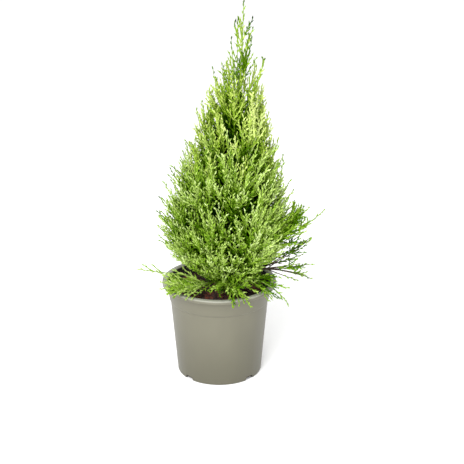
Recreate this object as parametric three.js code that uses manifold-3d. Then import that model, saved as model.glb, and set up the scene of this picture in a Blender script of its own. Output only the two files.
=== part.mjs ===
// A lemon cypress in a round nursery pot: a leaning trunk, boughs that spring from it, and plumes of
// foliage on the tips of the boughs and, higher up, on the trunk itself. Millimetres, +Z up and -Y
// towards the viewer. The origin is the middle of the pot's flat underside. Azimuths are in degrees,
// from +X and anticlockwise as seen from above.
import * as THREE from "three";
import { mergeVertices } from "three/addons/utils/BufferGeometryUtils.js";
import Module from "manifold-3d";

const wasm = await Module();
wasm.setup();

// Driving dimensions
const GAP = 0.3; // left between neighbouring pieces
const TREE_TOP = 554;

const POT = {
  height: 145,
  rimRadius: 85,
  baseRadius: 63.5,
  baseChamfer: 2,
  wall: 1.6,
  floor: 3,
  ridgeHeight: 115, // the step that runs round under the collar
  ridgeRadius: 73,
  ridgeStep: 1.6,
  collarTopRadius: 78,
  lipDepth: 5.5,
  lipRound: 2, // of the lip's upper edges
  lipEdge: 1, // of its lower edge
  sides: 36,
};

const NOTCH = { count: 4, firstAzimuth: 45, width: 17, roofWidth: 11, height: 6, depth: 16, below: 1 };

const SOIL = { edge: 130.5, middle: 133, flatRadius: 16 };

const TRUNK = {
  footX: 5,
  topX: 33,
  leanPower: 1.15, // over 1, so that the lean grows upwards
  sway: 3, // of the gentle S towards and away from the viewer
  footRadius: 4.6,
  topRadius: 0.9,
  taperPower: 0.9,
  flare: 3.6,
  flareHeight: 8,
  top: 484,
  sides: 8,
  steps: 11,
  stepPower: 1.7, // over 1, so that the rings crowd together at the flare
};

const CROWN = { reach: 100, widest: 235, taper: 0.85, leaderLean: 2, seed: 15 };

const BOUGH = { share: 0.27, rootRadius: 2.5, tipRadius: 1.3, sides: 5, steps: 3 };

// Where the bend of a limb lies, as shares of its reach and of its rise
const BEND = { out: 0.66, up: 0.3 };

// Boughs that stand out of the cone: the low ones over the soil and the rim, and the long one on the right
const STRAYS = [
  { name: "left_low", azimuth: 190, from: 147, tip: 169, reach: 125, arch: 4 },
  { name: "left_front", azimuth: 229, from: 143, tip: 151, reach: 98, arch: 14 },
  { name: "front", azimuth: 284, from: 155, tip: 143, reach: 98, arch: 22 },
  { name: "right_front", azimuth: 322, from: 147, tip: 136, reach: 119, arch: 32 },
  { name: "right_low", azimuth: 354, from: 156, tip: 150, reach: 131, arch: 18 },
  { name: "right_long", azimuth: 350, from: 190, tip: 262, reach: 146, arch: -6 },
  { name: "back_right", azimuth: 48, from: 149, tip: 163, reach: 112, arch: 10 },
  { name: "back_left", azimuth: 126, from: 145, tip: 160, reach: 110, arch: 10 },
];

// Rings of foliage that fill the cone, each higher, steeper and shorter than the one below it
const TIERS = [
  { name: "skirt", count: 3, azimuth: 208, step: 52, from: 160, tip: 214, scatter: 6, girth: 0.78 },
  { name: "lower", count: 6, azimuth: 16, step: 60, from: 176, tip: 240, scatter: 12, girth: 1 },
  { name: "middle", count: 6, azimuth: 352, step: 60, from: 226, tip: 318, scatter: 10, girth: 1.04 },
  { name: "upper", count: 5, azimuth: 14, step: 72, from: 290, tip: 394, scatter: 10, girth: 1 },
  { name: "top", count: 5, azimuth: 340, step: 72, from: 362, tip: 460, scatter: 10, girth: 0.95 },
  { name: "crest", count: 3, azimuth: 220, step: 120, from: 428, tip: 508, scatter: 8, girth: 0.7 },
];
const TIERS_ON_BOUGHS = ["lower", "middle"];
const OPEN_TIERS = ["top", "crest"]; // their foliage has no core
const TIER_SCATTER = { azimuth: 8, reach: 0.05 };

// Foliage: a stem that swells into a core, twigs that branch from it, and side sprays on the twigs
const STEM = { radius: 1.2, tipShare: 0.6, sides: 5, steps: 5 };
const CORE = { radius: 11, room: 0.6, top: 0.8 };
const TWIG = {
  count: 5,
  first: 0.04,
  last: 0.7,
  length: 52,
  upperLength: 38,
  lengthScatter: 0.1,
  radius: 1,
  tooth: 8,
  whorls: 2,
  neck: 0.26,
  spread: 42,
  openSpread: 27, // in the open masses at the top, whose twigs stand closer to upright
  spreadScatter: 0.15,
  lift: 0.3,
};
const SPRAY = {
  length: 36,
  radius: 0.9,
  tooth: 7,
  whorls: 1,
  neck: 0.3,
  root: 0.22,
  spread: 46,
  aside: [57, 115],
};
const WHORL = { sides: 3, top: 0.7, sweep: 1.25, taper: 0.6, waist: 0.8 };
const TRIES = 5; // turns round the stem that a twig may take to find room

const MARGIN = 0.8; // between a leaf and the edge of its mass's space
const LIP_CLEAR = 2; // between the pot's lip and the foliage that hangs over it
const APART = 7; // between the toothed lengths of two shoots
const SITES = 14; // points along each stem that the space round it is measured from
const SAMPLE = 3; // step of the points that are tried along a shoot
const TRUNK_SPOTS = 80;
const BOUGH_SPOTS = 24;

const MATERIALS = {
  pot: new THREE.MeshStandardMaterial({ color: 0x97957f, roughness: 0.55, metalness: 0 }),
  soil: new THREE.MeshStandardMaterial({ color: 0x2e1a10, roughness: 0.95, metalness: 0 }),
  bark: new THREE.MeshStandardMaterial({ color: 0x4b3826, roughness: 0.9, metalness: 0 }),
  leaf: new THREE.MeshStandardMaterial({ color: 0x8fb53a, roughness: 0.6, metalness: 0 }),
};

const UP = new THREE.Vector3(0, 0, 1);
const GOLDEN_ANGLE = Math.PI * (3 - Math.sqrt(5));
const MERGE_WITHIN = 1e-4; // corners of a skin that count as one
const WELD_WITHIN = 0.02; // the same on a mass, where the cuts between shoots leave slivers

const mix = THREE.MathUtils.lerp;
const radians = THREE.MathUtils.degToRad;

// Numbers from 0 to 1, in an order that the seed sets
function randomFrom(seed) {
  let state = seed >>> 0;
  return () => {
    state = (state + 0x6d2b79f5) >>> 0;
    let mixed = Math.imul(state ^ (state >>> 15), state | 1);
    mixed ^= mixed + Math.imul(mixed ^ (mixed >>> 7), mixed | 61);
    return ((mixed ^ (mixed >>> 14)) >>> 0) / 2 ** 32;
  };
}

// A number near 1, by the scatter at most
const around = (scatter, random) => mix(1 - scatter, 1 + scatter, random());

function evenShares(steps, from = 0, to = 1) {
  return Array.from({ length: steps + 1 }, (_, i) => mix(from, to, i / steps));
}

// Solids and skins

function solidOf(geometry, within = MERGE_WITHIN) {
  const bare = new THREE.BufferGeometry();
  bare.setAttribute("position", geometry.getAttribute("position"));
  bare.setIndex(geometry.index);
  const merged = mergeVertices(bare, within);
  return new wasm.Manifold(
    new wasm.Mesh({
      numProp: 3,
      vertProperties: new Float32Array(merged.getAttribute("position").array),
      triVerts: new Uint32Array(merged.index.array),
    }),
  );
}

function geometryOf(solid) {
  const mesh = solid.getMesh();
  const geometry = new THREE.BufferGeometry();
  geometry.setAttribute("position", new THREE.BufferAttribute(mesh.vertProperties, 3));
  geometry.setIndex(new THREE.BufferAttribute(mesh.triVerts, 1));
  geometry.computeVertexNormals();
  return geometry;
}

// A solid of revolution about +Z, from pairs of radius and height
function turned(profile, sides) {
  const points = profile.map(([radius, height]) => new THREE.Vector2(radius, height));
  return new THREE.LatheGeometry(points, sides).rotateX(Math.PI / 2);
}

// Two directions at right angles to a third and to each other
function across(direction) {
  const helper = Math.abs(direction.z) < 0.9 ? UP : new THREE.Vector3(1, 0, 0);
  const first = new THREE.Vector3().crossVectors(helper, direction).normalize();
  return [first, new THREE.Vector3().crossVectors(direction, first)];
}

// The direction that leans away from an axis by an angle, towards one side of it
function leaning(axis, turn, angle) {
  const [first, second] = across(axis);
  return axis
    .clone()
    .multiplyScalar(Math.cos(angle))
    .addScaledVector(first, Math.sin(angle) * Math.cos(turn))
    .addScaledVector(second, Math.sin(angle) * Math.sin(turn));
}

function ring(centre, direction, radius, sides, turn = 0) {
  return Array.from({ length: sides }, (_, i) => {
    const way = leaning(direction, turn + (2 * Math.PI * i) / sides, Math.PI / 2);
    return centre.clone().addScaledVector(way, radius);
  });
}

// A closed skin over rings of equal count, which starts in a flat cut and ends in one too, or in a point
function skin(rings, point) {
  const sides = rings[0].length;
  const corners = rings.flat();
  const last = (rings.length - 1) * sides;
  const faces = [];
  for (let i = 1; i < sides - 1; i++) faces.push(0, i + 1, i);
  for (let start = 0; start < last; start += sides) {
    for (let i = 0; i < sides; i++) {
      const a = start + i;
      const b = start + ((i + 1) % sides);
      faces.push(a, b, a + sides, b, b + sides, a + sides);
    }
  }
  if (point) {
    corners.push(point);
    for (let i = 0; i < sides; i++) faces.push(last + i, last + ((i + 1) % sides), corners.length - 1);
  } else {
    for (let i = 1; i < sides - 1; i++) faces.push(last, last + i, last + i + 1);
  }
  return new THREE.BufferGeometry().setFromPoints(corners).setIndex(faces);
}

// The pot: a tapered wall, a ridge, a collar, a rolled lip, and drain notches in the foot

function potOuterRadius(height) {
  const share = (height - POT.baseChamfer) / (POT.ridgeHeight - POT.baseChamfer);
  return mix(POT.baseRadius, POT.ridgeRadius, share);
}

function collarRadius(height) {
  const bottom = POT.ridgeHeight + POT.ridgeStep;
  const share = (height - bottom) / (POT.height - POT.lipDepth - bottom);
  return mix(POT.ridgeRadius + POT.ridgeStep, POT.collarTopRadius, share);
}

function makePot() {
  const { height, rimRadius, wall, ridgeHeight, ridgeRadius, ridgeStep } = POT;
  const { collarTopRadius, lipDepth, lipRound, lipEdge } = POT;
  const lipUnder = height - lipDepth;
  const profile = [
    [0, 0],
    [POT.baseRadius - POT.baseChamfer, 0],
    [POT.baseRadius, POT.baseChamfer],
    [ridgeRadius, ridgeHeight],
    [ridgeRadius + ridgeStep, ridgeHeight + ridgeStep],
    [collarTopRadius, lipUnder],
    [rimRadius - lipEdge, lipUnder],
    [rimRadius, lipUnder + lipEdge],
    [rimRadius, height - lipRound],
    [rimRadius - lipRound, height],
    [collarTopRadius - wall + lipRound, height],
    [collarTopRadius - wall, height - lipRound],
    [ridgeRadius + ridgeStep - wall, ridgeHeight + ridgeStep],
    [ridgeRadius - wall, ridgeHeight],
    [potOuterRadius(POT.floor) - wall, POT.floor],
    [0, POT.floor],
  ];
  const notch = new THREE.Shape([
    new THREE.Vector2(-NOTCH.width / 2, -NOTCH.below),
    new THREE.Vector2(NOTCH.width / 2, -NOTCH.below),
    new THREE.Vector2(NOTCH.roofWidth / 2, NOTCH.height),
    new THREE.Vector2(-NOTCH.roofWidth / 2, NOTCH.height),
  ]);
  let pot = solidOf(turned(profile, POT.sides));
  for (let i = 0; i < NOTCH.count; i++) {
    const cutter = new THREE.ExtrudeGeometry(notch, { depth: NOTCH.depth, bevelEnabled: false });
    cutter.rotateX(Math.PI / 2).translate(0, POT.baseRadius + NOTCH.depth / 2, 0);
    cutter.rotateZ(radians(NOTCH.firstAzimuth + (360 * i) / NOTCH.count) - Math.PI / 2);
    pot = pot.subtract(solidOf(cutter));
  }
  return geometryOf(pot);
}

function makeSoil() {
  const bottom = POT.floor + GAP;
  const shrink = POT.wall + GAP;
  const profile = [
    [0, bottom],
    [potOuterRadius(bottom) - shrink, bottom],
    [POT.ridgeRadius - shrink, POT.ridgeHeight],
    [collarRadius(SOIL.edge) - shrink - GAP, SOIL.edge],
    [SOIL.flatRadius, SOIL.middle],
    [0, SOIL.middle],
  ];
  return turned(profile, POT.sides);
}

// The trunk: it leans to the right, sways a little, and flares where it enters the soil

const TRUNK_FOOT = SOIL.middle + GAP;
const trunkShare = (height) => (height - TRUNK_FOOT) / (TRUNK.top - TRUNK_FOOT);

function trunkPoint(share) {
  return new THREE.Vector3(
    mix(TRUNK.footX, TRUNK.topX, share ** TRUNK.leanPower),
    TRUNK.sway * Math.sin(2 * Math.PI * share),
    mix(TRUNK_FOOT, TRUNK.top, share),
  );
}

function trunkRadius(share) {
  const climbed = share * (TRUNK.top - TRUNK_FOOT);
  const flare = TRUNK.flare * Math.exp(-climbed / TRUNK.flareHeight);
  return mix(TRUNK.footRadius, TRUNK.topRadius, share ** TRUNK.taperPower) + flare;
}

function makeTrunk() {
  const shares = evenShares(TRUNK.steps).map((share) => share ** TRUNK.stepPower);
  return skin(shares.map((share) => ring(trunkPoint(share), UP, trunkRadius(share), TRUNK.sides)));
}

// The plan of the crown: one line for each mass of foliage and the bough, if any, that carries it

function crownReach(height) {
  const share = (TREE_TOP - height) / (TREE_TOP - CROWN.widest);
  return CROWN.reach * share ** CROWN.taper;
}

// A line from the trunk's surface out to a tip, which leaves low and turns up, or arches over
function limbLine({ azimuth, from, tip, reach, arch }, rootRadius) {
  const out = new THREE.Vector3(Math.cos(radians(azimuth)), Math.sin(radians(azimuth)), 0);
  const axis = trunkPoint(trunkShare(from));
  const bend = out.clone().multiplyScalar(reach * BEND.out);
  bend.z = (tip - from) * BEND.up + arch;
  const steepness = Math.abs(bend.clone().normalize().z);
  const clear = trunkRadius(trunkShare(from)) + rootRadius * steepness + GAP;
  const root = axis.clone().addScaledVector(out, clear);
  const end = axis.clone().addScaledVector(out, reach).setZ(tip);
  return new THREE.QuadraticBezierCurve3(root, axis.clone().add(bend), end);
}

function tierLimbs(tier, random) {
  return Array.from({ length: tier.count }, (_, i) => {
    const tip = tier.tip * around(tier.scatter / tier.tip, random);
    return {
      name: `${tier.name}_${i + 1}`,
      azimuth: tier.azimuth + tier.step * i + TIER_SCATTER.azimuth * mix(-1, 1, random()),
      from: tier.from + (i % 2 ? tier.scatter : -tier.scatter) / 2,
      tip,
      reach: crownReach(tip) * tier.girth * around(TIER_SCATTER.reach, random),
      arch: 0,
      onBough: TIERS_ON_BOUGHS.includes(tier.name),
      dense: !OPEN_TIERS.includes(tier.name),
    };
  });
}

function leaderLimb() {
  const foot = trunkPoint(1);
  foot.z += GAP;
  const tip = new THREE.Vector3(TRUNK.topX + CROWN.leaderLean, 0, TREE_TOP);
  const line = new THREE.QuadraticBezierCurve3(foot, foot.clone().lerp(tip, 0.5), tip);
  return { name: "leader", line, stemFrom: 0, onBough: false, dense: false };
}

function planCrown() {
  const random = randomFrom(CROWN.seed);
  const strays = STRAYS.map((stray) => ({ ...stray, onBough: true, dense: true }));
  const limbs = [...strays, ...TIERS.flatMap((tier) => tierLimbs(tier, random))];
  for (const limb of limbs) {
    limb.line = limbLine(limb, limb.onBough ? BOUGH.rootRadius : STEM.radius);
    limb.stemFrom = limb.onBough ? BOUGH.share + GAP / limb.line.getLength() : 0;
  }
  limbs.push(leaderLimb());
  for (const limb of limbs) {
    limb.sites = evenShares(SITES - 1, limb.stemFrom, 1).map((t) => limb.line.getPoint(t));
  }
  return limbs;
}

const plan = planCrown();

const boughRadius = (t) => mix(BOUGH.rootRadius, BOUGH.tipRadius, t / BOUGH.share);

function makeBough({ line }) {
  const shares = evenShares(BOUGH.steps, 0, BOUGH.share);
  return skin(shares.map((t) => ring(line.getPoint(t), line.getTangent(t), boughRadius(t), BOUGH.sides)));
}

// The space that a mass keeps to: nearer its own stem than any other, and clear of limbs, pot and soil

const trunkSpots = evenShares(TRUNK_SPOTS).map((share) => ({
  point: trunkPoint(share),
  radius: trunkRadius(share),
}));
const boughSpots = plan
  .filter((limb) => limb.onBough)
  .flatMap((limb) => {
    const shares = evenShares(BOUGH_SPOTS, 0, BOUGH.share);
    return shares.map((t) => ({ point: limb.line.getPoint(t), radius: boughRadius(t), limb }));
  });
const limbSpots = [...trunkSpots, ...boughSpots];

const nearest = (point, sites) => Math.min(...sites.map((site) => site.distanceTo(point)));
const roomFromSpot = (point, spot) => spot.point.distanceTo(point) - spot.radius;

// How far a point is from the pot's wall and lip, and above the soil
function roomOverPot(point) {
  const radius = Math.hypot(point.x, point.y);
  const inner = POT.ridgeRadius - POT.wall;
  const beside = Math.max(0, inner - radius, radius - POT.rimRadius);
  const lip = Math.hypot(beside, Math.max(0, point.z - POT.height)) - LIP_CLEAR;
  return radius < POT.rimRadius ? Math.min(lip, point.z - SOIL.middle) : lip;
}

// The room round a point on the stem of a mass, or near it, before something else begins
function roomBeyond(point, limb) {
  const others = plan.filter((other) => other !== limb).flatMap((other) => other.sites);
  const toEdge = (nearest(point, others) - nearest(point, limb.sites)) / 2;
  const toLimbs = limbSpots.filter((spot) => spot.limb !== limb).map((spot) => roomFromSpot(point, spot));
  return Math.min(toEdge, roomOverPot(point), ...toLimbs);
}

function fits(points, limb) {
  return points.every(
    (point) =>
      point.z <= TREE_TOP &&
      roomBeyond(point, limb) > MARGIN &&
      limbSpots.every((spot) => roomFromSpot(point, spot) > MARGIN),
  );
}

function pointsAlong(from, direction, length) {
  const steps = Math.ceil(length / SAMPLE);
  return evenShares(steps).map((share) => from.clone().addScaledVector(direction, share * length));
}

// The corners of the rings and the middles of the edges between them
function pointsOnSkin(rings, point) {
  const middle = (a, b) => a.clone().lerp(b, 0.5);
  const tops = [...rings.slice(1), rings[0].map(() => point)];
  return rings.flatMap((corners, i) =>
    corners.flatMap((corner, j) => {
      const next = corners[(j + 1) % corners.length];
      return [corner, middle(corner, next), middle(corner, tops[i][j]), middle(next, tops[i][j])];
    }),
  );
}

// Foliage

// A straight shoot: a bare neck, whorls of needles that sweep forward, and a point. It is left out
// where it would leave the mass's space or crowd a shoot that is there already.
function addShoot(mass, root, direction, length, form, turn) {
  const at = (share) => root.clone().addScaledVector(direction, share * length);
  const pitch = (WHORL.top - form.neck) / form.whorls;
  const rings = [];
  const addRing = (share, radius) => {
    const twist = (rings.length * Math.PI) / (2 * WHORL.sides);
    rings.push(ring(at(share), direction, radius, WHORL.sides, turn + twist));
  };
  addRing(0, form.radius);
  for (let i = 0; i < form.whorls; i++) {
    const base = form.neck + i * pitch;
    addRing(base + pitch * WHORL.sweep, form.tooth * mix(1, WHORL.taper, i / form.whorls));
    addRing(base + pitch, form.radius * WHORL.waist);
  }
  const toothed = pointsAlong(at(form.neck), direction, (1 - form.neck) * length);
  const crowded = toothed.some((point) => mass.taken.some((other) => other.distanceTo(point) < APART));
  if (crowded || !fits([...toothed, ...pointsOnSkin(rings.slice(1), at(1))], mass.limb)) return false;
  mass.taken.push(...toothed);
  mass.solids.push(solidOf(skin(rings, at(1))));
  return true;
}

// The stem of a mass, which swells into a core where the mass is dense and there is room for one
function addStem(mass) {
  const { line, stemFrom, dense } = mass.limb;
  const along = (local) => mix(stemFrom, 1, local);
  const roomAt = (local) => roomBeyond(line.getPoint(along(local)), mass.limb) - MARGIN;
  const halfStep = CORE.top / STEM.steps / 2;
  const rings = evenShares(STEM.steps, 0, CORE.top).map((local) => {
    const room = Math.max(0, Math.min(roomAt(local - halfStep), roomAt(local), roomAt(local + halfStep)));
    const swell = Math.sin((Math.PI * local) / CORE.top) * Math.min(CORE.radius, CORE.room * room);
    const radius = STEM.radius * mix(1, STEM.tipShare, local) + (dense ? swell : 0);
    return ring(line.getPoint(along(local)), line.getTangent(along(local)), radius, STEM.sides);
  });
  mass.solids.push(solidOf(skin(rings, line.getPoint(1))));
}

// A twig that turns round its stem until it finds room, with a side spray on each hand
function addTwig(mass, local, random) {
  const { line, stemFrom, dense } = mass.limb;
  const t = mix(stemFrom, 1, local);
  const root = line.getPoint(t);
  const angle = radians(dense ? TWIG.spread : TWIG.openSpread) * around(TWIG.spreadScatter, random);
  const length = mix(TWIG.length, TWIG.upperLength, local) * around(TWIG.lengthScatter, random);
  for (let i = 0; i < TRIES; i++) {
    mass.turn += GOLDEN_ANGLE;
    const direction = leaning(line.getTangent(t), mass.turn, angle);
    direction.addScaledVector(UP, TWIG.lift).normalize();
    if (!addShoot(mass, root, direction, length, TWIG, mass.turn)) continue;
    const sideRoot = root.clone().addScaledVector(direction, SPRAY.root * length);
    for (const hand of [1, -1]) {
      const sideTurn = mass.turn + hand * radians(mix(...SPRAY.aside, random()));
      const sideWay = leaning(direction, sideTurn, radians(SPRAY.spread));
      addShoot(mass, sideRoot, sideWay, SPRAY.length, SPRAY, sideTurn);
    }
    return;
  }
}

function makeFoliage(limb, seed) {
  const random = randomFrom(seed);
  const mass = { limb, solids: [], taken: [], turn: 2 * Math.PI * random() };
  addStem(mass);
  const onward = limb.line.getTangent(1);
  const lastRoot = limb.line.getPoint(1).addScaledVector(onward, -SPRAY.length);
  addShoot(mass, lastRoot, onward, SPRAY.length, SPRAY, mass.turn);
  for (let i = 0; i < TWIG.count; i++) {
    const place = (i + random() / 2) / TWIG.count;
    addTwig(mass, mix(TWIG.first, TWIG.last, place), random);
  }
  // The largest body is the outer skin, so a hollow that the shoots seal is filled
  const bodies = wasm.Manifold.union(mass.solids).decompose();
  const outer = bodies.reduce((best, body) => (body.volume() > best.volume() ? body : best));
  return geometryOf(solidOf(geometryOf(outer), WELD_WITHIN));
}

// The assembly

const cypress = new THREE.Group();

function place(name, geometry, material) {
  const mesh = new THREE.Mesh(geometry, material);
  mesh.name = name;
  cypress.add(mesh);
}

place("pot", makePot(), MATERIALS.pot);
place("soil", makeSoil(), MATERIALS.soil);
place("trunk", makeTrunk(), MATERIALS.bark);
plan.forEach((limb, i) => {
  if (limb.onBough) place(`bough_${limb.name}`, makeBough(limb), MATERIALS.bark);
  place(`foliage_${limb.name}`, makeFoliage(limb, CROWN.seed + i), MATERIALS.leaf);
});

export default cypress;
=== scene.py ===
"""Looks of a lemon cypress in a round nursery pot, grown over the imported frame.

Sizes are millimetres, as in the part's source, and become metres where a mesh is made. +Z is up, -Y is
towards the viewer, and the origin is the middle of the pot's underside. Trunk, boughs and stems are the
source's own. The foliage grows on from them, to twigs, sprays, cordlets and needles.
"""

import math
from collections import namedtuple
from types import SimpleNamespace as Sizes

import bmesh
import bpy
import numpy as np
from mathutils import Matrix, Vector, noise


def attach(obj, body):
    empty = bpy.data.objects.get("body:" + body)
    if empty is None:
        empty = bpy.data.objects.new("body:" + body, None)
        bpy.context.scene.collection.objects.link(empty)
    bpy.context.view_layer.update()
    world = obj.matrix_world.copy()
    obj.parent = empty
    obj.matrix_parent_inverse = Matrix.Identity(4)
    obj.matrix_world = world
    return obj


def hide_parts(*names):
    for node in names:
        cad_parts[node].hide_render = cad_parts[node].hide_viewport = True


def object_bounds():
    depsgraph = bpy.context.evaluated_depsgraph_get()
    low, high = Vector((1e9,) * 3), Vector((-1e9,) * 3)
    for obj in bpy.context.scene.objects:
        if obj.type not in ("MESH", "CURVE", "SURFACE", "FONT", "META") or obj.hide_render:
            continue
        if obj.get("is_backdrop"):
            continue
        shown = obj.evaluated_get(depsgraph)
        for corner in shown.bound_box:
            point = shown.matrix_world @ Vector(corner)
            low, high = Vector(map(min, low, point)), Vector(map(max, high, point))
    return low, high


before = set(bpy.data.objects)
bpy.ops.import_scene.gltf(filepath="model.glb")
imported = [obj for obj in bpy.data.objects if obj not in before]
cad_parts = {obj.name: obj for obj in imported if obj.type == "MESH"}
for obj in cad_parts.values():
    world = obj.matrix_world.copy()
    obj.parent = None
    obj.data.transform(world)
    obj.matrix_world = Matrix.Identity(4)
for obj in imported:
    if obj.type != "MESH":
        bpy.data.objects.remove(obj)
cad_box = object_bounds()

MM = 0.001
PIECE_LIMIT = 190_000  # triangles in one piece

# The plan of the pot and the plant, as in the source
TREE_TOP = 554
GAP = 0.3

POT = Sizes(
    height=145, rim_radius=85, base_radius=63.5, wall=1.6, floor=3, ridge_height=115, ridge_radius=73,
    ridge_step=1.6, collar_top_radius=78, lip_depth=5.5,
)
NOTCH = Sizes(count=4, azimuth=45, width=17, roof_width=11, height=6, depth=16, below=1)
SOIL = Sizes(edge=130.5, middle=133, flat_radius=16)

TRUNK = Sizes(
    foot=133.3, top=484, foot_x=5, top_x=33, lean_power=1.15, sway=3, foot_radius=4.6, top_radius=0.9,
    taper_power=0.9, flare=3.6, flare_height=8,
)
CROWN = Sizes(reach=100, widest=235, taper=0.85, leader_lean=2, seed=15)
BOUGH = Sizes(share=0.27, root_radius=2.5, tip_radius=1.3)
STEM_RADIUS = 1.2
BEND = Sizes(out=0.66, up=0.3)

# The boughs that stand out of the cone
STRAY_COLUMNS = ("name", "azimuth", "from", "tip", "reach", "arch")
STRAYS = [
    ("left_low", 190, 147, 169, 125, 4),
    ("left_front", 229, 143, 151, 98, 14),
    ("front", 284, 155, 143, 98, 22),
    ("right_front", 322, 147, 136, 119, 32),
    ("right_low", 354, 156, 150, 131, 18),
    ("right_long", 350, 190, 262, 146, -6),
    ("back_right", 48, 149, 163, 112, 10),
    ("back_left", 126, 145, 160, 110, 10),
]
TIER_COLUMNS = ("name", "count", "azimuth", "step", "from", "tip", "scatter", "girth")
TIERS = [
    ("skirt", 3, 208, 52, 160, 214, 6, 0.78),
    ("lower", 6, 16, 60, 176, 240, 12, 1),
    ("middle", 6, 352, 60, 226, 318, 10, 1.04),
    ("upper", 5, 14, 72, 290, 394, 10, 1),
    ("top", 5, 340, 72, 362, 460, 10, 0.95),
    ("crest", 3, 220, 120, 428, 508, 8, 0.7),
]
TIERS_ON_BOUGHS = ("lower", "middle")
TIER_SCATTER = Sizes(azimuth=8, reach=0.05)

# The fans of twigs on the boughs that stand out: how long the twigs are, how far they turn up, or down
# where they hang, the azimuth that they turn to and how far, the share of their sprays that grows, and
# how much lighter or darker they are, the darker fans in front and at the right being painted shade under
# the crown and away from the light. They grow between the shares first and last of the stem, are bare
# over a share of their length, reach a share of the bough's own reach, and keep between two heights.
FAN_COLUMNS = (
    "stem", "twigs", "length", "lift", "aim", "turn", "sprays", "tone",
    "first", "last", "bare", "reach", "lowest", "highest",
)
FANS = [
    ("left_low", 2, 24, 0.3, 186, 0.2, 0.1, -0.05, 0.5, 0.8, 0.42, 1, 140, 182),
    ("left_front", 18, 62, 0.2, 164, 1.6, 0.12, -0.02, 0, 0.7, 0.05, 1, 140, 176),
    ("left_front", 13, 60, 0, 190, 1.6, 0.12, 0, -0.1, 0.6, 0.05, 1, 138, 166),
    ("left_front", 9, 74, 0, 238, 1, 0.12, -0.05, -0.3, 0.3, 0.05, 1.06, 130, 162),
    ("front", 11, 46, -0.7, 290, 0.3, 0.08, -0.18, -0.2, 0.6, 0.05, 1, 137, 200),
    ("front", 6, 56, -0.1, 212, 1.6, 0.1, -0.3, -0.2, 0.2, 0.05, 1, 139, 168),
    ("front", 5, 48, -0.5, 330, 0.7, 0.1, -0.2, -0.2, 0.45, 0.05, 1, 137, 190),
    ("right_front", 10, 50, -0.3, 330, 0.2, 0.15, -0.3, -0.36, 0.25, 0.2, 1, 122, 176),
    ("right_low", 12, 84, 0.45, 354, 0.2, 0.36, -0.38, -0.3, 0.2, 0.5, 1, 150, 212),
    ("right_low", 2, 60, -0.3, 352, 0.1, 0.1, -0.3, 0.1, 0.5, 0.5, 1, 130, 160),
    ("right_long", 14, 60, 0.5, 350, 0, 0.5, -0.18, -0.3, 0.36, 0.1, 0.82, 190, 262),
    ("right_long", 12, 58, 1.1, 350, 0, 0.5, -0.15, -0.05, 0.42, 0.1, 0.76, 190, 272),
    ("right_long", 7, 62, 0.05, 350, 0.1, 0.45, -0.2, -0.3, 0.2, 0.15, 0.84, 176, 240),
    ("back_right", 12, 64, 0.1, 48, 0, 0.4, 0, -0.2, 0.4, 0.3, 1, 134, 200),
    ("back_left", 12, 64, 0.1, 126, 0, 0.4, 0, -0.2, 0.4, 0.3, 1, 134, 200),
]

# The crown's plumes: their tips are spread evenly over its outline, and more of them inside it
PLUMES = Sizes(
    tries=60,  # places that each tip is tried at
    lowest=158,
    upright=0.5,  # how much heights count in how far apart the tips are
    wobble=5,
    turn=0.6,
    least_rise=3,  # a plume rises by its length over this at least
)
OUTER = Sizes(
    count=480,
    highest=466,
    inmost=((330, 0.86), (420, 0.7), (466, 0.6)),
    outmost=((220, 1.03), (280, 1.14), (340, 1.12), (380, 1.05), (430, 1)),
)
INNER = Sizes(
    count=190,
    highest=430,
    inmost=((330, 0.35), (420, 0.3)),
    outmost=((150, 0.78), (420, 0.7)),
)
# How far the plumes at the outline lean out, in degrees: more lower down, and at the left and right
PLUME_LEAN = Sizes(top=12, more=32, flank=0.55, height=200, fade=98)
TRUNK_STARTS = 60
CROWN_SHIFT = ((160, -4), (235, -2), (416, -2), (450, 0), (480, 4), (554, 0))  # from the trunk

# The topmost plumes: azimuth, height, how far out from the crown's middle, and how far they lean out
TOP_PLUMES = [
    (184, 484, 21, 5), (192, 474, 24, 4), (170, 465, 27, 8), (352, 476, 29, 22), (350, 532, 14, 24),
    (12, 518, 14, 22), (340, 506, 12, 8), (178, 526, 12, 4), (206, 532, 7, 12), (60, 500, 10, 10),
    (280, 486, 9, 8), (96, 478, 24, 12), (262, 468, 24, 12),
]

# All the plumes by height: how long they are, how far apart, and the share of their sprays that grows
PLUME_LENGTH = ((150, 60), (230, 92), (380, 92), (460, 58), (554, 34))
PLUME_SPACING = ((360, 1), (430, 1.2), (500, 1.5))
SPRAY_SHARE = ((150, 1), (360, 0.9), (450, 0.4), (490, 0.2))
OPEN_STEP = ((380, 1), (420, 1.15), (480, 1))  # times as far between the sprays and the cordlets

# How the foliage grows on. Steps are along a carrying shoot, and the tip values are for its end, where a
# twig's is a share of its length. A spray bends in along its twig.
GROWTH_SEED = 24
TWIG = Sizes(
    tip_share=0.7, scatter=0.2, spread=24, spread_scatter=0.3, curl=0.1, sway=0.035, place_scatter=0.5,
    bare=0.1,
)
SPRAY = Sizes(
    step=8, first=0.06, last=0.8, length=30, tip_length=10, scatter=0.25, spread=27, tip_spread=27,
    spread_scatter=0.2, place_scatter=0.03, aside=(35, 145), along=0.24, bare=0.06,
)
CORDLET = Sizes(
    step=5, length=7.4, tip_length=4.4, scatter=0.3, spread=36, tip_spread=27, spread_scatter=0.2,
    turn_scatter=0.3, lift=0.1,
)
NEEDLE = Sizes(
    step=2.8, plume_step=3.3, length=2.7, tip_length=2.3, width=1.4, widest=0.45, fold=0.2, spread=24,
    tip_spread=12, spread_scatter=0.2, scatter=0.2, turn_scatter=0.15,
)
STEM_FORM = Sizes(radius=1.3, tip_radius=0.4, segments=10, sides=6)
BARE_TWIG_FORM = Sizes(radius=0.9, tip_radius=0.4, segments=6, sides=5)
TWIG_FORM = Sizes(radius=1.2, tip_radius=0.4, segments=6, sides=4)
SPRAY_FORM = Sizes(radius=1, tip_radius=0.4, segments=3, sides=3)
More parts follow.
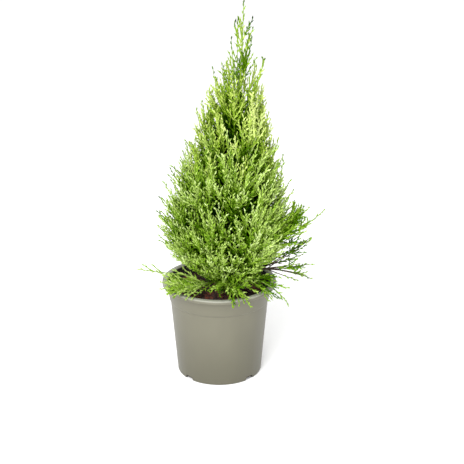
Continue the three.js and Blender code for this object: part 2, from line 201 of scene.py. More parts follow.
CORDLET_FORM = Sizes(radius=0.75, widest=0.55, widest_radius=1.2, sides=3)
FINER = ((400, 1), (480, 0.8))  # by height, how thick the axes are
SHADED_STEP = Sizes(outward=0.3, times=2.4)  # how much sparser the needles are in the shade
WOODY = 0.45  # the bare share over which twigs are brown
STEM_BARE = 0.3  # of a stem, before its own sprays and cordlets begin
RISES = (0, 0.4, 0.9, 1.8)  # further lifts that a shoot is tried at
SIZES = (1, 0.75, 0.5)  # and shorter lengths
TURNS = 9  # ways round the stem that a twig is tried at
FREEDOM = Sizes(upright=0.5, out=0.25, rise=6, shorter=30)  # how a twig's ways are weighed
CROWDING = 0.8  # under 1, so that more of a fan's twigs stand near its far end
RAGGED = (0.68, 1)  # how far the sprays come out, as shares of the crown's reach
STRAY_RAGGED = (0.88, 1.04)  # the same on the boughs that stand out
TOP = Sizes(height=110, power=0.12)  # of the outline's sharper end
UNDERCUT = Sizes(height=225, depth=80, most=77)  # how the crown draws in further down
FRONT = Sizes(azimuth=298, less=0.7, power=4)  # where it is drawn in less
LIP_CLEAR = 2.5
STEM_STARTS = 14
HEIGHT_STEPS = 200

# Tints of the foliage, as sRGB, from the painted shade of the crown's inside to the newest tips
TINTS = {
    "shade": (16, 46, 0),
    "deep": (63, 99, 2),
    "leaf": (115, 147, 41),
    "lime": (152, 176, 88),
    "pale": (178, 197, 127),
}
# outward, shallow and deep: painted shade, the foliage darkens from the outline to deep inside the crown
TONE = Sizes(base=0.015, outward=0.66, shallow=8, deep=54, scatter=0.09, spray=0.05)
# Painted shade: low down a plume's foot is darker than its tip, as shaded by its neighbours; higher up
# its tip is darker
ONWARD = ((380, 0.24), (440, -0.2))  # by height, how much lighter a plume is at its tip than at its foot
OWN_TONE = 0.5  # the share of a plume where its tone is its own
# Painted shade: the foliage is darker at the left and right outlines
FLANK_SHADE = Sizes(inside=5, depth=10, darker=0.6)  # at the left and right outlines
# By height, how much lighter or darker the foliage is: painted shade low down at the crown's foot,
# lighter in the upper middle, and darker at the top
HEIGHT_TONE = (
    (155, -0.2), (210, -0.02), (340, 0.02), (390, 0.1), (430, 0.12), (480, -0.14), (554, -0.35),
)
STRAY_OUTWARD = 0.85
WARM = Sizes(height=345, patch=45, size=7, red=1.025, blue=0.92)  # the tints higher up

CAMERA = Sizes(x=19.1, y=-1429, z=742, pitch=20.09, focal=1035, image=464, sensor=36)

UP = np.array([0.0, 0.0, 1.0])
RIGHT = np.array([1.0, 0.0, 0.0])
STEEP = 0.9  # the upright part over which a way is set against RIGHT, not UP
GOLDEN_ANGLE = math.pi * (3 - math.sqrt(5))
WORD = 2**32 - 1

rng = np.random.default_rng(GROWTH_SEED)


def mix(a, b, share):
    return a + (b - a) * share


def smooth(share):
    return share * share * (3 - 2 * share)


def random_from(seed):
    """Numbers from 0 to 1, in the same order as the source's."""
    state = seed
    while True:
        state = (state + 0x6D2B79F5) & WORD
        mixed = ((state ^ (state >> 15)) * (state | 1)) & WORD
        mixed ^= (mixed + (mixed ^ (mixed >> 7)) * (mixed | 61)) & WORD
        yield (mixed ^ (mixed >> 14)) / 2**32


def any_turn(count):
    return rng.uniform(0, 2 * math.pi, count)


def around(scatter, size=None):
    """Numbers near 1, by the scatter at most."""
    return rng.uniform(1 - scatter, 1 + scatter, size)


def size_of(ways):
    return np.linalg.norm(ways, axis=-1)


def unit(ways):
    return ways / size_of(ways)[..., None]


def across(ways):
    """Two directions at right angles to each way and to each other."""
    helper = np.where(np.abs(ways[..., 2:]) < STEEP, UP, RIGHT)
    first = unit(np.cross(helper, ways))
    return first, np.cross(ways, first)


def square_to(ways, turn):
    """Directions at right angles to each way, turned about it."""
    first, second = across(ways)
    turn = np.asarray(turn)[..., None]
    return first * np.cos(turn) + second * np.sin(turn)


def leaning(ways, turn, angle):
    """Directions that lean away from each way by an angle, towards one side of it."""
    angle = np.asarray(angle)[..., None]
    return ways * np.cos(angle) + square_to(ways, turn) * np.sin(angle)


def level_ways(turn):
    return np.stack([np.cos(turn), np.sin(turn), np.zeros_like(turn)], axis=-1)


def all_round(count):
    """Angles at an even step, once round."""
    return np.linspace(0, 2 * math.pi, count, endpoint=False)


# Meshes and pieces


def add_object(name, data):
    made = bpy.data.objects.new(name, data)
    bpy.context.scene.collection.objects.link(made)
    return made


def add_mesh(name, points, faces, material, soft=False):
    """An object from points in millimetres and faces of equal corner counts."""
    mesh = bpy.data.meshes.new(name)
    mesh.vertices.add(len(points))
    mesh.vertices.foreach_set("co", (points * MM).astype(np.float32).ravel())
    mesh.loops.add(faces.size)
    mesh.loops.foreach_set("vertex_index", faces.astype(np.int32).ravel())
    mesh.polygons.add(len(faces))
    mesh.polygons.foreach_set("loop_start", np.arange(0, faces.size, faces.shape[1], dtype=np.int32))
    mesh.polygons.foreach_set("use_smooth", np.full(len(faces), soft))
    mesh.update(calc_edges=True)
    mesh.materials.append(material)
    return add_object(name, mesh)


def stand_for(piece, slot, nodes):
    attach(piece, "root")
    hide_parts(*nodes)


def add_pieces(name, points, faces, material, slot, nodes, soft=False):
    """Many equal small meshes, one row of points each, joined into pieces of a limited size."""
    triangles = len(faces) * len(points) * (faces.shape[1] - 2)
    groups = np.array_split(points, math.ceil(triangles / PIECE_LIMIT))
    for i, group in enumerate(groups):
        starts = np.arange(len(group))[:, None, None] * group.shape[1]
        corners = (faces[None] + starts).reshape(-1, faces.shape[1])
        piece = add_mesh(f"{name}_{i + 1}", group.reshape(-1, 3), corners, material, soft)
        stand_for(piece, slot, nodes)


def tube_faces(rings, sides):
    """Faces between neighbouring rings of equal count."""
    start = np.arange(rings - 1)[:, None] * sides
    side = np.arange(sides)[None]
    after = (side + 1) % sides
    quads = np.stack([start + side, start + after, start + sides + after, start + sides + side], axis=-1)
    return quads.reshape(-1, 4)


# Materials


SRGB = Sizes(knee=0.04045, slope=12.92, offset=0.055, power=2.4)
DRIFT = (0.3, 0.7)  # where in the noise a colour's drift begins and ends

# Name, the two colours that it drifts between, how fine the drift is, roughness, depth and fineness of
# the relief, detail of both, specular level, and how both are stretched upright
LOOKS = [
    ("bark", (42, 34, 23), (74, 60, 42), 260, (0.8, 0.95), 0.8, 700, 4, 0.5, 0.35),
    ("green_bark", (78, 104, 30), (112, 140, 44), 200, (0.6, 0.75), 0.3, 900, 4, 0.5, 1),
    # painted shade: the inside of the pot's wall
    ("pot_painted_shade", (24, 22, 18), (40, 37, 30), 60, (0.6, 0.8), 0.3, 700, 4, 0.5, 1),
    ("pot_plastic", (92, 90, 77), (97, 95, 81), 22, (0.38, 0.46), 0.05, 1500, 4, 0.3, 1),
    ("soil_earth", (22, 13, 9), (50, 30, 20), 160, (0.85, 1), 1, 700, 4, 0.5, 1),
    ("chip_dark", (40, 22, 15), (66, 38, 25), 300, (0.75, 0.95), 0.8, 900, 4, 0.5, 1),
    ("chip_red", (78, 36, 22), (112, 58, 36), 300, (0.7, 0.9), 0.8, 900, 4, 0.5, 1),
    ("floor", (251, 251, 251), (253, 253, 253), 3, (0.6, 0.7), 0.02, 200, 4, 0.5, 1),
]
FOLIAGE_LOOK = (90, (0.55, 0.68), 0.15, 900, 2, 0.04, 1)  # the same after the colours
FOLIAGE_DRIFT = (0.93, 1.06)  # times a tint
YOUNG_TINT = {"colour": (92, 118, 34), "from": 320, "to": 430, "share": 0.9}
# Painted highlight: a pale band round the top of the lip
LIP_HIGHLIGHT = {"colour": (188, 190, 180), "from": 142.4, "to": 145, "share": 0.35}
# Painted shade: the plastic darkens towards the pot's foot
FOOT_SHADE = {"colour": (72, 70, 57), "from": 115, "to": 0, "share": 0.62}


def linear(colour):
    """A colour in sRGB bytes as linear light."""
    share = np.asarray(colour) / 255
    curve = ((share + SRGB.offset) / (1 + SRGB.offset)) ** SRGB.power
    return (*np.where(share <= SRGB.knee, share / SRGB.slope, curve), 1.0)


def set_inputs(material, node, inputs):
    """Sets a node's inputs to values, or links them to sockets."""
    for name, value in inputs.items():
        if isinstance(value, bpy.types.NodeSocket):
            material.node_tree.links.new(value, node.inputs[name])
        else:
            node.inputs[name].default_value = value


def add_node(material, kind, inputs, **settings):
    node = material.node_tree.nodes.new(f"ShaderNode{kind}")
    for name, value in settings.items():
        setattr(node, name, value)
    set_inputs(material, node, inputs)
    return node


def make_material(name, darker, lighter, drift, roughness, bump, grain, detail, specular, upright):
    """A surface whose colour drifts between two others, with a roughness and a relief of its own."""
    material = bpy.data.materials.new(name)
    material.use_nodes = True
    place = add_node(material, "TexCoord", {}).outputs["Object"]
    stretched = add_node(material, "Mapping", {"Vector": place, "Scale": (1, 1, upright)})
    over = {"Vector": stretched.outputs["Vector"], "Detail": detail}
    drifting = add_node(material, "TexNoise", {**over, "Scale": drift}).outputs["Fac"]
    height = add_node(material, "TexNoise", {**over, "Scale": grain}).outputs["Fac"]
    ramp = add_node(material, "ValToRGB", {"Fac": drifting})
    for stop, position, colour in zip(ramp.color_ramp.elements, DRIFT, (darker, lighter)):
        stop.position = position
        stop.color = linear(colour)
    gloss = {"Value": drifting, "To Min": roughness[0], "To Max": roughness[1]}
    relief = {"Height": height, "Strength": bump, "Distance": MM}
    surface = {
        "Base Color": ramp.outputs["Color"],
        "Roughness": add_node(material, "MapRange", gloss).outputs["Result"],
        "Normal": add_node(material, "Bump", relief).outputs["Normal"],
        "Specular IOR Level": specular,
    }
    set_inputs(material, material.node_tree.nodes["Principled BSDF"], surface)
    return material


def add_tint(material, tint):
    """Blends a material's colour into another one between two heights."""
    shader = material.node_tree.nodes["Principled BSDF"]
    place = add_node(material, "TexCoord", {}).outputs["Object"]
    height = add_node(material, "SeparateXYZ", {"Vector": place}).outputs["Z"]
    (low, low_share), (high, high_share) = sorted([(tint["from"], 0), (tint["to"], tint["share"])])
    climb = {"From Min": low * MM, "From Max": high * MM, "To Min": low_share, "To Max": high_share}
    share = add_node(material, "MapRange", {"Value": height, **climb}, interpolation_type="SMOOTHSTEP")
    colours = {
        "Factor": share.outputs["Result"],
        "A": shader.inputs["Base Color"].links[0].from_socket,
        "B": linear(tint["colour"]),
    }
    blend = add_node(material, "Mix", colours, data_type="RGBA")
    set_inputs(material, shader, {"Base Color": blend.outputs["Result"]})


def make_foliage(name, colour):
    near = [[min(255, part * by) for part in colour] for by in FOLIAGE_DRIFT]
    return make_material(f"foliage_{name}", *near, *FOLIAGE_LOOK)


WARM_TINTS = {
    f"{name}_warm": (red * WARM.red, green, blue * WARM.blue)
    for name, (red, green, blue) in TINTS.items()
}
FOLIAGE = {name: make_foliage(name, colour) for name, colour in {**TINTS, **WARM_TINTS}.items()}
MATERIALS = {row[0]: make_material(*row) for row in LOOKS}
BARK = MATERIALS["bark"]
PLASTIC = MATERIALS["pot_plastic"]
add_tint(BARK, YOUNG_TINT)
add_tint(PLASTIC, FOOT_SHADE)
add_tint(PLASTIC, LIP_HIGHLIGHT)


# The trunk and the plan of the crown


def trunk_share(height):
    return (height - TRUNK.foot) / (TRUNK.top - TRUNK.foot)


def trunk_point(share):
    x = mix(TRUNK.foot_x, TRUNK.top_x, share ** TRUNK.lean_power)
    y = TRUNK.sway * np.sin(2 * math.pi * share)
    return np.stack([x, y, mix(TRUNK.foot, TRUNK.top, share)], axis=-1)


def trunk_radius(share):
    climbed = share * (TRUNK.top - TRUNK.foot)
    flare = TRUNK.flare * np.exp(-climbed / TRUNK.flare_height)
    return mix(TRUNK.foot_radius, TRUNK.top_radius, share ** TRUNK.taper_power) + flare


def crown_reach(height):
    share = (TREE_TOP - height) / (TREE_TOP - CROWN.widest)
    return CROWN.reach * share ** CROWN.taper


def limb_line(limb, root_radius):
    """The three points of a curve from the trunk's surface out to a limb's tip."""
    out = level_ways(math.radians(limb["azimuth"]))
    share = np.float64(trunk_share(limb["from"]))
    axis = trunk_point(share)
    bend = out * limb["reach"] * BEND.out
    bend[2] = (limb["tip"] - limb["from"]) * BEND.up + limb["arch"]
    steepness = abs(unit(bend)[2])
    clear = trunk_radius(share) + root_radius * steepness + GAP
    end = axis + out * limb["reach"]
    end[2] = limb["tip"]
    return np.array([axis + out * clear, axis + bend, end])


def tier_limbs(tier, random):
    for i in range(tier["count"]):
        scatter = tier["scatter"] / tier["tip"]
        tip = tier["tip"] * mix(1 - scatter, 1 + scatter, next(random))
        azimuth = tier["azimuth"] + tier["step"] * i + TIER_SCATTER.azimuth * mix(-1, 1, next(random))
        girth = tier["girth"] * mix(1 - TIER_SCATTER.reach, 1 + TIER_SCATTER.reach, next(random))
        yield {
            **tier,
            "name": f"{tier['name']}_{i + 1}",
            "azimuth": azimuth,
            "from": tier["from"] + (tier["scatter"] if i % 2 else -tier["scatter"]) / 2,
            "tip": tip,
            "reach": crown_reach(tip) * girth,
            "arch": 0,
            "on_bough": tier["name"] in TIERS_ON_BOUGHS,
        }


def leader_limb():
    foot = trunk_point(np.float64(1)) + GAP * UP
    tip = np.array([TRUNK.top_x + CROWN.leader_lean, 0, TREE_TOP])
    line = np.array([foot, (foot + tip) / 2, tip])
    return {"name": "leader", "line": line, "on_bough": False}


def plan_crown():
    random = random_from(CROWN.seed)
    limbs = [dict(zip(STRAY_COLUMNS, row), on_bough=True) for row in STRAYS]
    for row in TIERS:
        limbs.extend(tier_limbs(dict(zip(TIER_COLUMNS, row)), random))
    for limb in limbs:
        limb["line"] = limb_line(limb, BOUGH.root_radius if limb["on_bough"] else STEM_RADIUS)
    return [*limbs, leader_limb()]


# Shoots, many at a time


class Shoots(namedtuple("Shoots", "root way bend fan tone turn")):
    """Curves root + way * share + bend * share ** 2, each with its fan, its tone and its turn."""

    def at(self, which, share):
        share = share[:, None]
        return self.root[which] + self.way[which] * share + self.bend[which] * share**2

    def heading(self, which, share):
        return unit(self.way[which] + 2 * self.bend[which] * share[:, None])

    def lengths(self):
        return size_of(self.way + self.bend)

    def ends(self):
        return self.root + self.way + self.bend

    def kept(self, keep):
        return Shoots(*(part[keep] for part in self))


def joined(*groups):
    return Shoots(*map(np.concatenate, zip(*groups)))


def at_steps(lengths, step):
    """Places at an even step along shoots: which shoot, the order on it, and the share of its length."""
    counts = np.maximum(1, np.round(lengths / step).astype(int))
    which = np.repeat(np.arange(len(lengths)), counts)
    order = np.arange(len(which)) - np.repeat(np.cumsum(counts) - counts, counts)
    return which, order, (order + 0.5) / counts[which]


def leafy_steps(lengths, step, bare):
    """The same, past the bare foot of each shoot."""
    which, order, share = at_steps(lengths, step)
    leafy = share > bare[which]
    return which[leafy], order[leafy], share[leafy]


limbs = plan_crown()
limb_names = [limb["name"] for limb in limbs]
fans = [dict(zip(FAN_COLUMNS, row)) for row in FANS]
IN_CROWN = len(fans)  # stands for the crown where a shoot is in none of the fans
fan_limb = np.array([limb_names.index(fan["stem"]) for fan in fans])


def of_fans(column, in_crown):
    """What the fans have in a column, and after them what the crown has."""
    return np.array([fan[column] for fan in fans] + [in_crown])


fan_reach = of_fans("reach", 0) * np.array([limbs[limb]["reach"] for limb in fan_limb] + [0])
fan_lowest = of_fans("lowest", 0)
fan_highest = of_fans("highest", TREE_TOP)
fan_sprays = of_fans("sprays", 1)
fan_tone = of_fans("tone", 0)
fan_bare = of_fans("bare", TWIG.bare)


def make_stems():
    """The stem of each mass: its limb's line from the bough's tip, or from the trunk."""
    lines = np.stack([limb["line"] for limb in limbs])
    start = np.array([BOUGH.share if limb["on_bough"] else 0 for limb in limbs])[:, None]
    slope = 2 * (lines[:, 1] - lines[:, 0])
    bend = lines[:, 0] - 2 * lines[:, 1] + lines[:, 2]
    root = lines[:, 0] + slope * start + bend * start**2
    way = (1 - start) * (slope + 2 * start * bend)
    fan = np.full(len(limbs), IN_CROWN)
    fan[fan_limb[::-1]] = np.arange(len(fans))[::-1]
    tone = rng.normal(TONE.base, TONE.scatter, len(limbs))
    return Shoots(root, way, (1 - start) ** 2 * bend, fan, tone, np.zeros(len(limbs)))


stems = make_stems()


def by_height(points, rows):
    return np.interp(points[:, 2], *zip(*rows))


def crown_axis(heights):
    """The middle of the crown at each height, beside the trunk and straight up from its top."""
    line = trunk_point(trunk_share(np.clip(heights, TRUNK.foot, TRUNK.top)))
    line[:, 0] += np.interp(heights, *zip(*CROWN_SHIFT))
    line[:, 2] = heights
    return line


def from_axis(points):
    """The level way from the crown's middle out to each point, at its own height."""
    return (points - crown_axis(points[:, 2]))[:, :2]


def out_from_axis(points):
    return size_of(from_axis(points))


def room_over_pot(points):
    """How far each point is from the pot's wall and lip, and above the soil."""
    radius = np.hypot(points[:, 0], points[:, 1])
    inside = POT.ridge_radius - POT.wall - radius
    beside = np.maximum(0, np.maximum(inside, radius - POT.rim_radius))
    lip = np.hypot(beside, np.maximum(0, points[:, 2] - POT.height)) - LIP_CLEAR
    above = points[:, 2] - SOIL.middle
    return np.where(radius < POT.rim_radius, np.minimum(lip, above), lip)


def outline_reach(points):
    """The crown's reach as it shows at each point's height: drawn in low down, and sharper at the top."""
    heights = points[:, 2]
    down = np.clip(TREE_TOP - heights, 0, TREE_TOP - CROWN.widest)
    sharp = np.minimum(1, down / TOP.height) ** TOP.power
    below = np.clip(UNDERCUT.height - heights, 0, UNDERCUT.most) / UNDERCUT.depth
    away = from_axis(points)
    facing = np.cos(np.arctan2(away[:, 1], away[:, 0]) - math.radians(FRONT.azimuth))
    drawn = below**2 * (1 - FRONT.less * np.maximum(0, facing) ** FRONT.power)
    return crown_reach(TREE_TOP - down) * sharp * (1 - drawn)


def has_room(points, fan):
    """Whether each point is within its fan's or the crown's reach and heights, and clear of the pot."""
    stray = fan != IN_CROWN
    reach = np.where(stray, fan_reach[fan], outline_reach(points))
    ragged = np.where(stray, rng.uniform(*STRAY_RAGGED, len(points)), rng.uniform(*RAGGED, len(points)))
    level = (points[:, 2] > fan_lowest[fan]) & (points[:, 2] < fan_highest[fan])
    return (out_from_axis(points) < reach * ragged) & level & (room_over_pot(points) > 0)


def outwardness(points, fan):
    """Painted shade: 1 under the crown's outline, 0 deep inside, less at the left and right fringe, and
    lighter or darker by height.
    """
    away = from_axis(points)
    out = size_of(away)
    depth = outline_reach(points) - out
    share = np.clip((TONE.deep - depth) / (TONE.deep - TONE.shallow), 0, 1)
    flank = (away[:, 0] / np.maximum(1, out)) ** 2
    # painted shade on the left and right flanks
    fringe = np.clip((FLANK_SHADE.inside - depth) / FLANK_SHADE.depth, 0, 1) * flank
    inside = smooth(share) - FLANK_SHADE.darker * fringe + by_height(points, HEIGHT_TONE)
    return np.where(fan != IN_CROWN, STRAY_OUTWARD + fan_tone[fan], inside)


def ways_to_try(fan, heading, length, angle, turn):
    """Each way that a twig could take: its turn round the stem, way, and how much it is favoured."""
    all_turns = turn + GOLDEN_ANGLE * np.arange(TURNS)
    turns, rises, sizes = (part.ravel() for part in np.meshgrid(all_turns, RISES, SIZES, indexing="ij"))
    leant = leaning(heading, turns, angle) + (fan["lift"] + rises)[:, None] * UP
    leant += fan["turn"] * level_ways(math.radians(fan["aim"]))
    favour = -FREEDOM.rise * rises - FREEDOM.shorter * (1 - sizes)
    return turns, length * sizes[:, None] * unit(leant), favour


def freest_twig(which, share, turn, tips):
    """Of the ways that a twig could take, the one furthest from all the other tips, or None."""
    fan = fans[which]
    angle = math.radians(TWIG.spread) * around(TWIG.spread_scatter)
    length = fan["length"] * mix(1, TWIG.tip_share, max(0, share)) * around(TWIG.scatter)
    stem = fan_limb[which : which + 1]
    place = np.array([share])
    root = stems.at(stem, place)[0]
    turns, ways, favour = ways_to_try(fan, stems.heading(stem, place)[0], length, angle, turn)
    bend = length * (TWIG.curl * fan["lift"] * UP + TWIG.sway * rng.normal(size=3))
    ends = root + ways + bend
    owner = np.full(len(ends), which)
    fits = has_room(ends, owner) & has_room(root + ways / 2 + bend / 4, owner)
    if not fits.any():
        return None
    flat = np.array([1, 1, FREEDOM.upright])
    apart = size_of((ends[:, None] - np.array(tips)[None]) * flat).min(axis=1)
    worth = apart + favour + FREEDOM.out * out_from_axis(ends)
    best = np.where(fits, worth, -np.inf).argmax()
    return root, ways[best], bend, which, 0.0, turns[best]


def fan_twigs():
    """Twigs on the boughs that stand out, one in each fan in turn, until every fan has its number."""
    turn = any_turn(len(fans))
    tips = list(stems.ends())
    rows = []
    for i in range(max(fan["twigs"] for fan in fans)):
        for which, fan in enumerate(fans):
            if i >= fan["twigs"]:
                continue
            place = ((i + rng.random() * TWIG.place_scatter) / fan["twigs"]) ** CROWDING
            twig = freest_twig(which, mix(fan["first"], fan["last"], place), turn[which], tips)
            turn[which] += GOLDEN_ANGLE
            if twig:
                rows.append(twig)
                tips.append(sum(twig[:3]))
    return Shoots(*map(np.array, zip(*rows)))


def random_places(count, highest):
    """Places on the crown's outline, more where it is wide: its middle, and the way out from there."""
    heights = np.linspace(PLUMES.lowest, highest, HEIGHT_STEPS)
    filled = np.cumsum(outline_reach(crown_axis(heights)))
    axis = crown_axis(np.interp(rng.random(count) * filled[-1], filled, heights))
    out = level_ways(any_turn(count))
    return axis, out * outline_reach(axis + out)[:, None]


def top_plumes():
    """The topmost plumes' tips, and the ways that they point."""
    azimuth, height, out, lean = np.array(TOP_PLUMES, float).T
    lean = np.radians(lean)[:, None]
    away = level_ways(np.radians(azimuth))
    return crown_axis(height) + away * out[:, None], np.sin(lean) * away + np.cos(lean) * UP


def spread_tips(layer, tips):
    """Tips spread evenly: of the places tried for each, the one furthest from the others."""
    flat = np.array([1, 1, PLUMES.upright])
    taken = list(tips)
    spread = []
    for _ in range(layer.count):
        axis, out = random_places(PLUMES.tries, layer.highest)
        apart = size_of(((axis + out)[:, None] - np.array(taken)[None]) * flat).min(axis=1)
        inmost, outmost = (by_height(axis, rows) for rows in (layer.inmost, layer.outmost))
        tried = axis + out * mix(inmost, outmost, rng.random(PLUMES.tries))[:, None]
        worth = np.where(room_over_pot(tried) > 0, apart / by_height(tried, PLUME_SPACING), 0)
        best = worth.argmax()
        taken.append(axis[best] + out[best])
        spread.append(tried[best])
    return np.array(spread)


def plume_ways(tips):
    """The way that each plume's tip points: upright in the middle, and leaning out at the flanks."""
    away = from_axis(tips)
    reach = size_of(away)[:, None]
    flank = PLUME_LEAN.flank * (away[:, 0] / reach[:, 0]) ** 2
    low = np.exp((PLUME_LEAN.height - tips[:, 2]) / PLUME_LEAN.fade)
    most = PLUME_LEAN.top + PLUME_LEAN.more * (1 + flank) * low
    wobble = rng.normal(0, PLUMES.wobble, len(tips))
    lean = np.radians(most * reach[:, 0] / outline_reach(tips) + wobble)[:, None]
    return np.concatenate([np.sin(lean) * away / reach, np.cos(lean)], axis=-1)


def crown_twigs():
    """Twigs that start from the nearest stem, or from the trunk, and turn to their tips' own way."""
    inner = np.flatnonzero(stems.fan == IN_CROWN)
    top, top_ways = top_plumes()
    outer = spread_tips(OUTER, np.concatenate([stems.ends()[inner], top]))
    lower = np.concatenate([outer, spread_tips(INNER, stems.root[inner])])
    tips = np.concatenate([top, lower])
    count = len(tips)
    ends = np.concatenate([top_ways, plume_ways(lower)])
    length = by_height(tips, PLUME_LENGTH) * around(TWIG.scatter, count)
    on_stems = [stems.at(inner, np.full(len(inner), share)) for share in np.linspace(0, 1, STEM_STARTS)]
    starts = np.concatenate([*on_stems, trunk_point(np.linspace(0, 1, TRUNK_STARTS))])
    behind = tips - ends * length[:, None]
    apart = size_of(behind[:, None] - starts[None])
    under = starts[None, :, 2] < (tips[:, 2] - length / PLUMES.least_rise)[:, None]
    root = starts[np.where(under, apart, np.inf).argmin(axis=1)]
    run = tips - root
    size = size_of(run)[:, None]
    bend = PLUMES.turn * (ends * size - run) + TWIG.sway * size * rng.normal(size=(count, 3))
    fan = np.full(count, IN_CROWN)
    return Shoots(root, run - bend, bend, fan, np.zeros(count), any_turn(count))


def branch(parents, which, share, turn, form):
    """Side shoots: their roots, their parents' headings, the ways that they lean, and their lengths."""
    spread = np.radians(mix(form.spread, form.tip_spread, share))
    angle = spread * around(form.spread_scatter, len(which))
    length = mix(form.length, form.tip_length, share) * around(form.scatter, len(which))
    heading = parents.heading(which, share)
    return parents.at(which, share), heading, leaning(heading, turn, angle), length[:, None]


def grow_sprays(twigs, bare):
    """Sprays on both sides of the twigs, bent in along them, and raised or shortened to find room."""
    step = SPRAY.step * by_height(twigs.root, OPEN_STEP)
    which, order, place = at_steps(twigs.lengths(), step)
    count = len(which)
    share = mix(SPRAY.first, SPRAY.last, place) + rng.uniform(-1, 1, count) * SPRAY.place_scatter
    hand = np.where(order % 2, 1, -1)
    turn = twigs.turn[which] + hand * np.radians(rng.uniform(*SPRAY.aside, count))
    root, heading, leant, length = branch(twigs, which, share, turn, SPRAY)
    fan = twigs.fan[which]
    bend = length * (SPRAY.along * heading + TWIG.sway * rng.normal(size=(count, 3)))
    way = np.zeros_like(root)
    grows = rng.random(count) < np.where(fan != IN_CROWN, fan_sprays[fan], by_height(root, SPRAY_SHARE))
    grows &= share > bare[which]
    found = ~grows
    for size in SIZES:
        for rise in RISES:
            trial = size * length * unit(leant + rise * UP)
            fits = ~found & has_room(root + trial + size * bend, fan)
            way[fits] = trial[fits]
            bend[fits] *= size
            found |= fits
    tone = twigs.tone[which] + rng.normal(0, TONE.spray, count)
    return Shoots(root, way, bend, fan, tone, turn).kept(found & grows)


def grow_cordlets(plumes, bare):
    """Short cordlets that turn round the plumes, longest low down."""
    step = CORDLET.step * by_height(plumes.root, OPEN_STEP)
    which, order, share = leafy_steps(plumes.lengths(), step, bare)
    turn = plumes.turn[which] + order * GOLDEN_ANGLE + rng.normal(0, CORDLET.turn_scatter, len(which))
    root, _, leant, length = branch(plumes, which, share, turn, CORDLET)
    way = unit(leant + CORDLET.lift * UP) * length
    fan = plumes.fan[which]
    # painted shade towards each plume's foot
    tone = plumes.tone[which] + by_height(root, ONWARD) * (share - OWN_TONE)
    # painted shade: cordlets darker deeper inside the crown
    tone += TONE.outward * outwardness(root, fan)
    cordlets = Shoots(root, way, np.zeros_like(way), fan, tone, turn)
    return cordlets.kept(room_over_pot(root + way) > 0)


def grow_needles(shoots, step, bare):
    """Pairs of needles, each square to the last, as kites of two faces, and the shoot of each."""
    shaded = outwardness(shoots.root, shoots.fan) < SHADED_STEP.outward
    step = step * np.where(shaded, SHADED_STEP.times, 1)
    which, order, share = (np.repeat(part, 2) for part in leafy_steps(shoots.lengths(), step, bare))
    count = len(which)
    facing = np.tile([0, math.pi], count // 2)
    turn = shoots.turn[which] + order * math.pi / 2 + facing
    turn += rng.normal(0, NEEDLE.turn_scatter, count)
    root, heading, way, length = branch(shoots, which, share, turn, NEEDLE)
    side = unit(np.cross(way, heading))
    lower = np.cross(side, way)
    reach = way * length
    middle = root + reach * NEEDLE.widest + lower * NEEDLE.fold
    half = side * NEEDLE.width / 2
    corners = np.stack([root, middle - half, root + reach, middle + half], axis=1)
    return corners, which


NEEDLE_FACES = np.array([[0, 1, 2], [0, 2, 3]])


def tints_of(shoots):
    """Which tint each shoot has, by its tone: a warm one higher up, with an uneven edge between."""
    tint = np.clip((shoots.tone * len(TINTS)).astype(int), 0, len(TINTS) - 1)
    patch = np.sin(shoots.root[:, 0] / WARM.size) * np.sin(shoots.root[:, 1] / WARM.size)
    return tint + len(TINTS) * (shoots.root[:, 2] + WARM.patch * patch > WARM.height)


def add_tinted(name, points, faces, tint, nodes):
    """Small meshes of foliage, dealt out to a piece or more of each tint."""
    for i, colour in enumerate(FOLIAGE):
        chosen = tint == i
        if chosen.any():
            add_pieces(f"{name}_{colour}", points[chosen], faces, FOLIAGE[colour], "foliage", nodes)


def tubes(shoots, form):
    """Tapering tubes along shoots, one row of points each, and the faces of one."""
    sides = form.sides
    rings = form.segments + 1
    count = len(shoots.root)
    which = np.repeat(np.arange(count), rings * sides)
    share = np.tile(np.repeat(np.linspace(0, 1, rings), sides), count)
    turn = np.tile(all_round(sides), count * rings)
    out = square_to(shoots.heading(which, share), turn)
    centre = shoots.at(which, share)
    radius = mix(form.radius, form.tip_radius, share) * by_height(centre, FINER)
    points = centre + out * radius[:, None]
    return points.reshape(count, rings * sides, 3), tube_faces(rings, sides)


def buds(shoots, form):
    """Spindles along straight shoots, one row of points each, and the faces of one."""
    sides = form.sides
    count = len(shoots.root)
    which = np.repeat(np.arange(count), sides)
    turn = np.tile(all_round(sides), count)
    out = square_to(unit(shoots.way)[which], turn).reshape(count, sides, 3)
    foot = shoots.root[:, None] + out * form.radius
    widest = (shoots.root + shoots.way * form.widest)[:, None] + out * form.widest_radius
    tip = shoots.ends()[:, None]
    side = np.arange(sides)
    after = (side + 1) % sides
    lower = np.stack([side, after, after + sides], axis=-1)
    upper = np.stack([side, after + sides, side + sides], axis=-1)
    top = np.stack([side + sides, after + sides, np.full(sides, 2 * sides)], axis=-1)
    return np.concatenate([foot, widest, tip], axis=1), np.concatenate([lower, upper, top])


